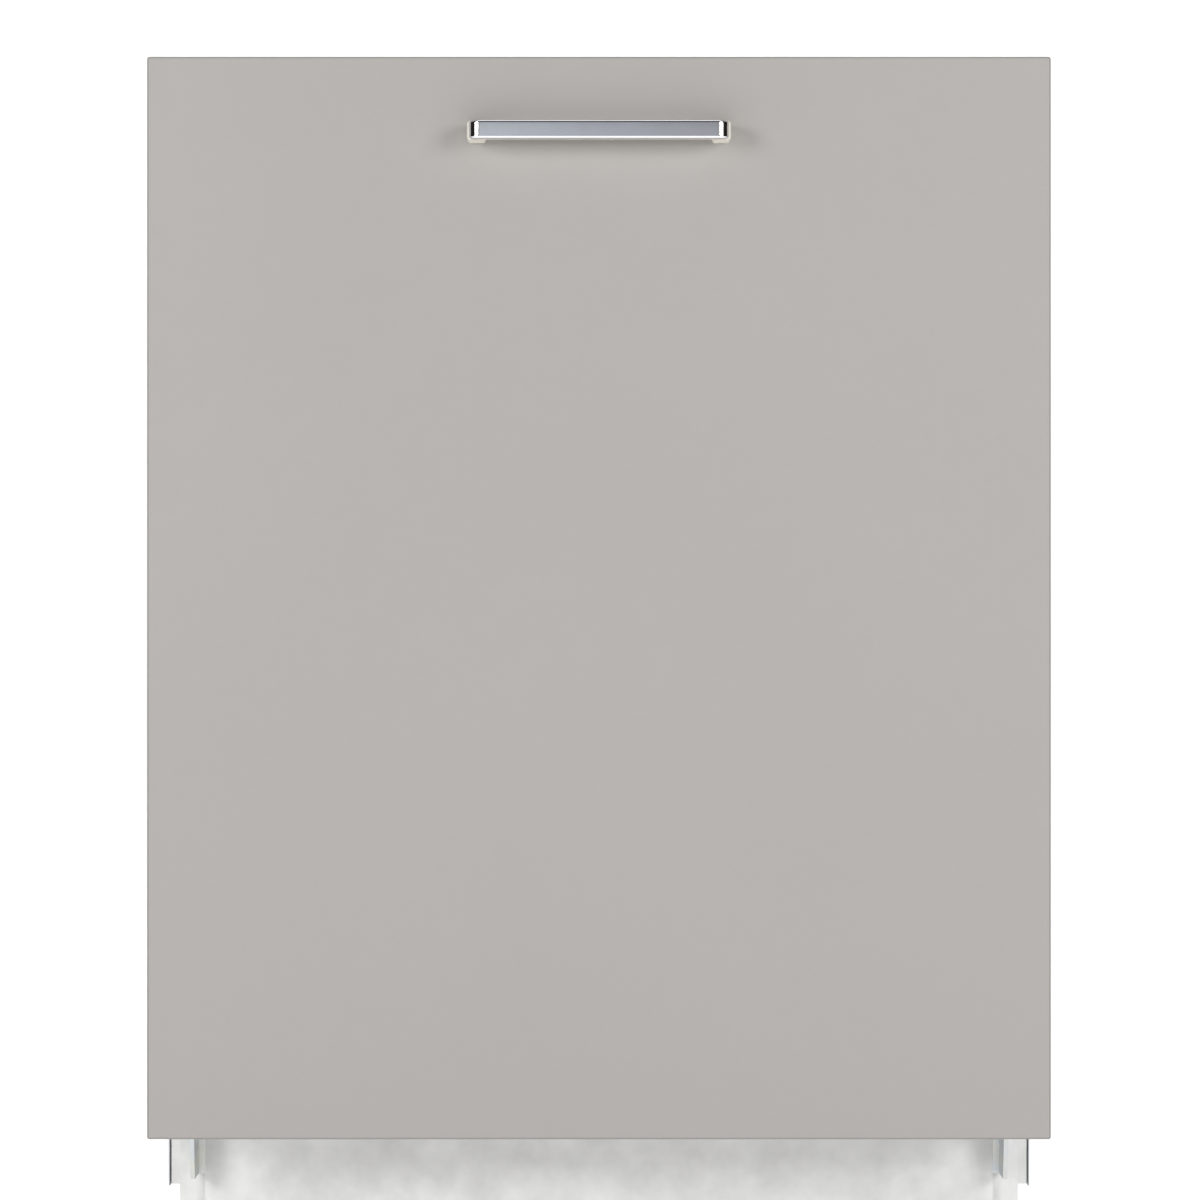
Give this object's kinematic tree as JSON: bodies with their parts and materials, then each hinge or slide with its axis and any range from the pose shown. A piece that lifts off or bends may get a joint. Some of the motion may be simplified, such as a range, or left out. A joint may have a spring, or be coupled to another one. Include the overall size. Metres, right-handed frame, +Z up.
{
  "type": "built-in dishwasher",
  "caption": "Fully integrated built-in dishwasher with a plain furniture front, bow handle, drop-down door, sliding racks, spray arms and a cutlery tray.",
  "frame": {"origin": "centre of the footprint, on the floor under the feet", "axes": "+Z up, -Y out of the furniture front towards the user, +X to the right seen from the front"},
  "size_m": [0.598, 0.596, 0.815],
  "materials": {
    "laminate": "matte melamine board, warm light grey",
    "chrome": "polished",
    "zinc": "bright zinc plating",
    "galvanised": "hot-dip galvanised sheet",
    "stainless": "brushed stainless sheet",
    "grey_plastic": "moulded, satin",
    "pale_plastic": "moulded, satin",
    "black_plastic": "moulded, fine texture",
    "blue_plastic": "moulded, satin",
    "rubber": "extruded seal",
    "coated_wire": "nylon-coated steel wire"
  },
  "bodies": {
    "machine": {"side_panel_left": "galvanised", "side_panel_right": "galvanised", "rear_panel": "galvanised", "top_cover": "galvanised", "hinge_bracket_left": "zinc", "hinge_bracket_right": "zinc", "door_spring_left": "zinc", "door_spring_right": "zinc", "tub_wrapper": "stainless", "tub_floor": "grey_plastic", "door_gasket": "rubber", "latch_strike": "zinc", "base_pan": "pale_plastic", "toe_plate": "pale_plastic", "sump": "grey_plastic", "micro_filter": "stainless", "circulation_pump": "black_plastic", "drain_pump": "grey_plastic", "water_softener": "pale_plastic", "inlet_valve": "pale_plastic", "supply_pipe": "grey_plastic", "rail_left": "stainless", "rail_right": "stainless", "tray_rail_left": "stainless", "tray_rail_right": "stainless"},
    "door": {"front_panel": "laminate", "handle_bow": "chrome", "handle_screw_left": "zinc", "handle_screw_right": "zinc", "panel_bracket_left": "zinc", "panel_bracket_right": "zinc", "door_outer_sheet": "galvanised", "door_liner": "stainless", "control_fascia": "black_plastic", "door_latch": "grey_plastic", "dispenser_housing": "grey_plastic", "hinge_arm_left": "zinc", "hinge_arm_right": "zinc"},
    "dispenser_lid_body": {"dispenser_lid": "pale_plastic"},
    "rinse_aid_cap_body": {"rinse_aid_cap": "blue_plastic"},
    "button_power_body": {"button_power": "pale_plastic"},
    "button_eco_body": {"button_eco": "pale_plastic"},
    "button_quick_body": {"button_quick": "pale_plastic"},
    "button_start_body": {"button_start": "pale_plastic"},
    "coarse_filter_body": {"coarse_filter": "grey_plastic"},
    "salt_cap_body": {"salt_cap": "blue_plastic"},
    "lower_spray_arm_body": {"lower_spray_arm": "grey_plastic"},
    "upper_spray_arm_body": {"upper_spray_arm": "grey_plastic"},
    "lower_rack_body": {"lower_rack": "coated_wire"},
    "upper_rack_body": {"upper_rack": "coated_wire"},
    "cutlery_tray_body": {"cutlery_tray": "grey_plastic"},
    "fold_tines_body": {"fold_tines": "coated_wire"},
    "foot_front_left_body": {"foot_front_left": "pale_plastic"},
    "wheel_front_left_body": {"wheel_front_left": "grey_plastic"},
    "foot_front_right_body": {"foot_front_right": "pale_plastic"},
    "wheel_front_right_body": {"wheel_front_right": "grey_plastic"},
    "foot_rear_left_body": {"foot_rear_left": "pale_plastic"},
    "wheel_rear_left_body": {"wheel_rear_left": "grey_plastic"},
    "foot_rear_right_body": {"foot_rear_right": "pale_plastic"},
    "wheel_rear_right_body": {"wheel_rear_right": "grey_plastic"}
  },
  "joints": [
    {"name": "door_hinge", "type": "hinge", "parent": "machine", "child": "door", "pos_m": [0, -0.235, 0.115], "axis": [1, 0, 0], "range_deg": [0, 90], "stiffness_Nm_per_rad": 27},
    {"name": "dispenser_lid_slide", "type": "slide", "parent": "door", "child": "dispenser_lid_body", "axis": [1, 0, 0], "range_m": [0, 0.082]},
    {"name": "rinse_cap_twist", "type": "hinge", "parent": "door", "child": "rinse_aid_cap_body", "pos_m": [-0.055, -0.2114, 0.625], "axis": [0, 1, 0], "range_deg": [0, 90]},
    {"name": "press_power", "type": "slide", "parent": "door", "child": "button_power_body", "axis": [0, 0, -1], "range_m": [0, 0.0015], "stiffness_N_per_m": 400, "springref_m": -0.001},
    {"name": "press_eco", "type": "slide", "parent": "door", "child": "button_eco_body", "axis": [0, 0, -1], "range_m": [0, 0.0015], "stiffness_N_per_m": 400, "springref_m": -0.001},
    {"name": "press_quick", "type": "slide", "parent": "door", "child": "button_quick_body", "axis": [0, 0, -1], "range_m": [0, 0.0015], "stiffness_N_per_m": 400, "springref_m": -0.001},
    {"name": "press_start", "type": "slide", "parent": "door", "child": "button_start_body", "axis": [0, 0, -1], "range_m": [0, 0.0015], "stiffness_N_per_m": 400, "springref_m": -0.001},
    {"name": "coarse_filter_twist", "type": "hinge", "parent": "machine", "child": "coarse_filter_body", "pos_m": [0.052, 0.012, 0.144], "axis": [0, 0, 1], "range_deg": [0, 90]},
    {"name": "salt_cap_twist", "type": "hinge", "parent": "machine", "child": "salt_cap_body", "pos_m": [-0.19, -0.1, 0.1482], "axis": [0, 0, 1], "continuous": true},
    {"name": "lower_arm_spin", "type": "hinge", "parent": "machine", "child": "lower_spray_arm_body", "pos_m": [0, 0.03, 0.19], "axis": [0, 0, 1], "continuous": true},
    {"name": "upper_arm_spin", "type": "hinge", "parent": "upper_rack_body", "child": "upper_spray_arm_body", "pos_m": [0, 0.03, 0.494], "axis": [0, 0, 1], "continuous": true},
    {"name": "lower_rack_slide", "type": "slide", "parent": "machine", "child": "lower_rack_body", "axis": [0, -1, 0], "range_m": [0, 0.217]},
    {"name": "upper_rack_slide", "type": "slide", "parent": "machine", "child": "upper_rack_body", "axis": [0, -1, 0], "range_m": [0, 0.33]},
    {"name": "cutlery_tray_slide", "type": "slide", "parent": "machine", "child": "cutlery_tray_body", "axis": [0, -1, 0], "range_m": [0, 0.3]},
    {"name": "tine_fold", "type": "hinge", "parent": "lower_rack_body", "child": "fold_tines_body", "pos_m": [0, 0.06, 0.2235], "axis": [-1, 0, 0], "range_deg": [0, 90]},
    {"name": "wheel_front_left_roll", "type": "hinge", "parent": "lower_rack_body", "child": "wheel_front_left_body", "pos_m": [-0.2617, -0.06, 0.163], "axis": [1, 0, 0], "continuous": true},
    {"name": "wheel_front_right_roll", "type": "hinge", "parent": "lower_rack_body", "child": "wheel_front_right_body", "pos_m": [0.2617, -0.06, 0.163], "axis": [1, 0, 0], "continuous": true},
    {"name": "wheel_rear_left_roll", "type": "hinge", "parent": "lower_rack_body", "child": "wheel_rear_left_body", "pos_m": [-0.2617, 0.19, 0.163], "axis": [1, 0, 0], "continuous": true},
    {"name": "wheel_rear_right_roll", "type": "hinge", "parent": "lower_rack_body", "child": "wheel_rear_right_body", "pos_m": [0.2617, 0.19, 0.163], "axis": [1, 0, 0], "continuous": true},
    {"name": "foot_front_left_extend", "type": "slide", "parent": "machine", "child": "foot_front_left_body", "axis": [0, 0, -1], "range_m": [0, 0.04]},
    {"name": "foot_front_right_extend", "type": "slide", "parent": "machine", "child": "foot_front_right_body", "axis": [0, 0, -1], "range_m": [0, 0.04]},
    {"name": "foot_rear_left_extend", "type": "slide", "parent": "machine", "child": "foot_rear_left_body", "axis": [0, 0, -1], "range_m": [0, 0.04]},
    {"name": "foot_rear_right_extend", "type": "slide", "parent": "machine", "child": "foot_rear_right_body", "axis": [0, 0, -1], "range_m": [0, 0.04]}
  ],
  "couplings": [
    {"joint": "lower_rack_slide", "follows": "door_hinge", "m_per_rad": 0.138},
    {"joint": "upper_rack_slide", "follows": "door_hinge", "m_per_rad": 0.21},
    {"joint": "cutlery_tray_slide", "follows": "door_hinge", "m_per_rad": 0.19}
  ]
}
